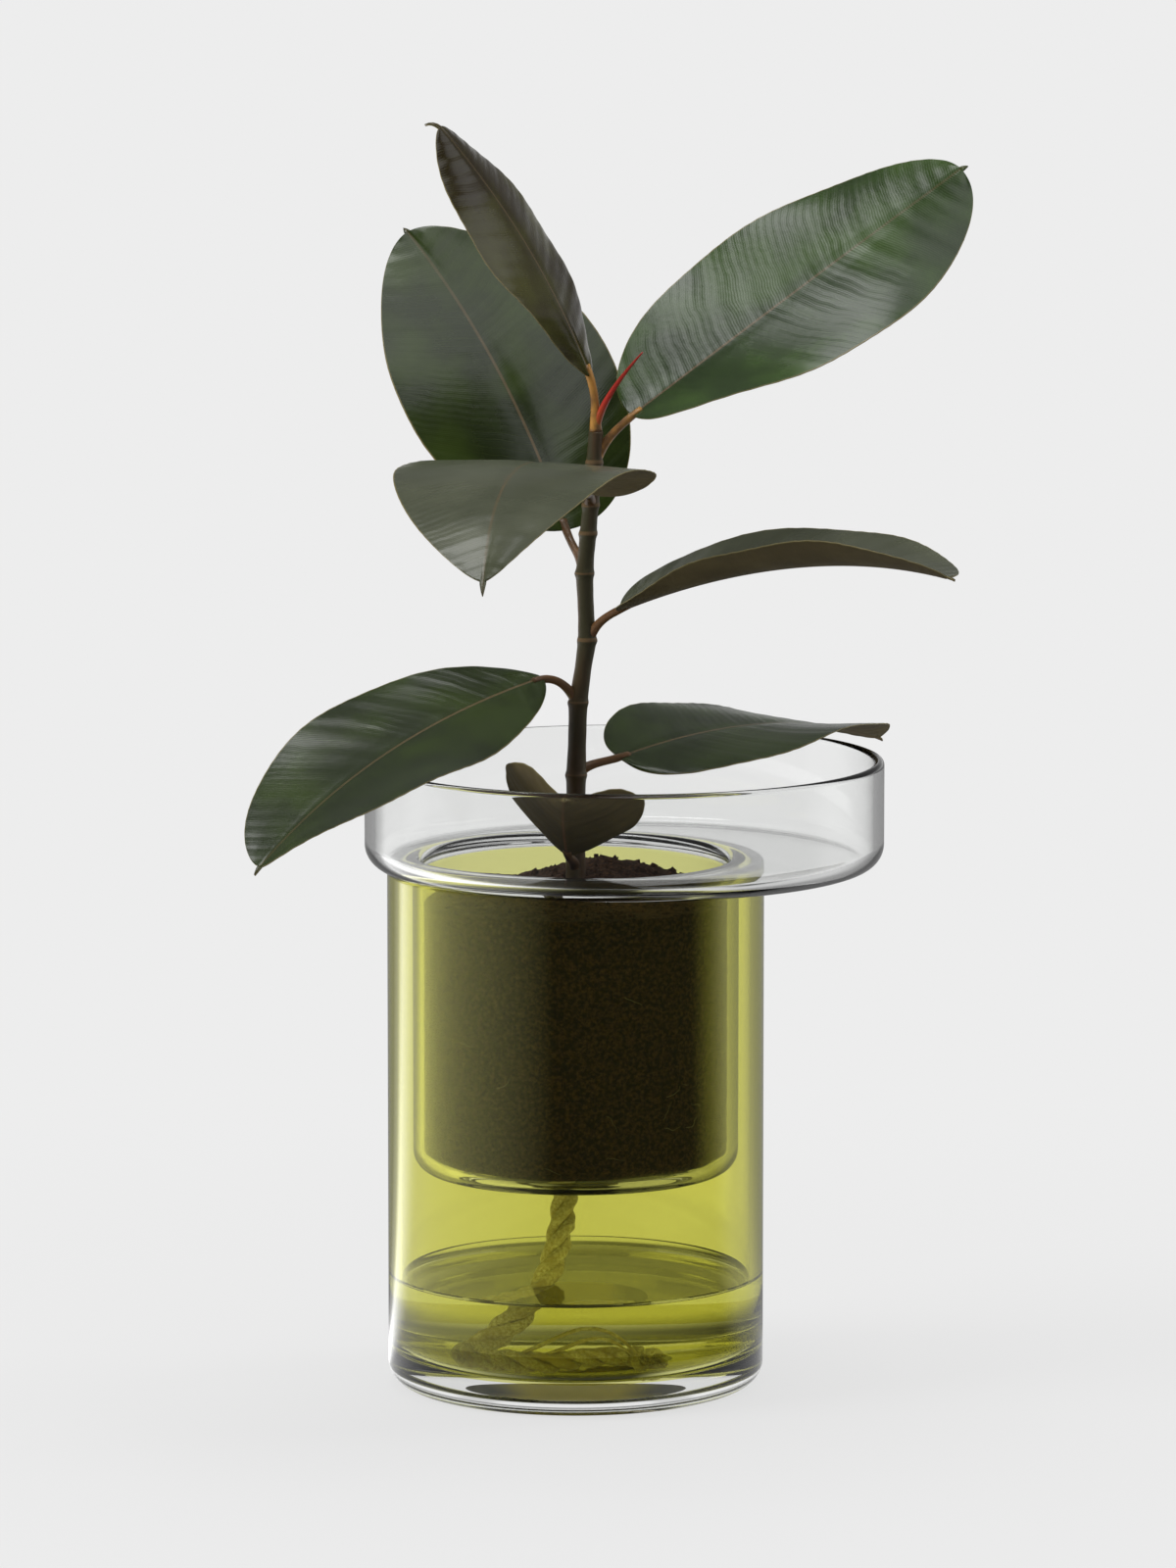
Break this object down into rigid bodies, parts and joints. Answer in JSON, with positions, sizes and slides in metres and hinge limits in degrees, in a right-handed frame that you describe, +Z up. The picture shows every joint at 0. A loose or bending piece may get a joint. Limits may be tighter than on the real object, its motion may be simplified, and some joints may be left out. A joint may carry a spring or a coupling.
{
  "type": "self-watering jar planter",
  "caption": "Thick-based green glass jar of water with a clear glass dish and well standing on its rim; a cotton rope wick feeds a rubber plant rooted in the well.",
  "frame": {"origin": "centre of the flat underside of the jar", "axes": "+Z up through the plant; the jar and the well are turned about Z; +X is the side that the dish overhangs; -Y faces the viewer of the picture"},
  "size_m": [0.2559, 0.2569, 0.4492],
  "materials": {
    "green_glass": "olive-green cased clear glass, polished",
    "clear_glass": "clear, polished",
    "water": "clear, tinted by the jar",
    "cotton": "natural laid cotton rope",
    "soil": "dark crumbled potting soil",
    "stem": "olive-brown bark with pale rings",
    "sheath": "smooth bright red",
    "leaf": "glossy dark green, olive-brown underneath",
    "petiole": "smooth brown to orange"
  },
  "bodies": {
    "jar": {"reservoir_jar": "green_glass", "water": "water"},
    "insert": {"planter_insert": "clear_glass", "wick": "cotton", "wick_buried_end": "cotton"},
    "plant": {"soil": "soil", "stem": "stem", "leaf_sheath": "sheath", "leaf_top_young": "leaf", "petiole_top_young": "petiole", "leaf_back_left": "leaf", "petiole_back_left": "petiole", "leaf_right_large": "leaf", "petiole_right_large": "petiole", "leaf_front_left": "leaf", "petiole_front_left": "petiole", "leaf_right_drooping": "leaf", "petiole_right_drooping": "petiole", "leaf_left_low": "leaf", "petiole_left_low": "petiole", "leaf_right_low": "leaf", "petiole_right_low": "petiole", "leaf_front_small": "leaf", "petiole_front_small": "petiole"}
  },
  "joints": [
    {"name": "insert_lift", "type": "slide", "parent": "jar", "child": "insert", "axis": [0, 0, 1], "range_m": [0, 0.17], "deforming": ["water"]},
    {"name": "plant_lift", "type": "slide", "parent": "insert", "child": "plant", "axis": [0, 0, 1], "range_m": [0, 0.145]}
  ]
}
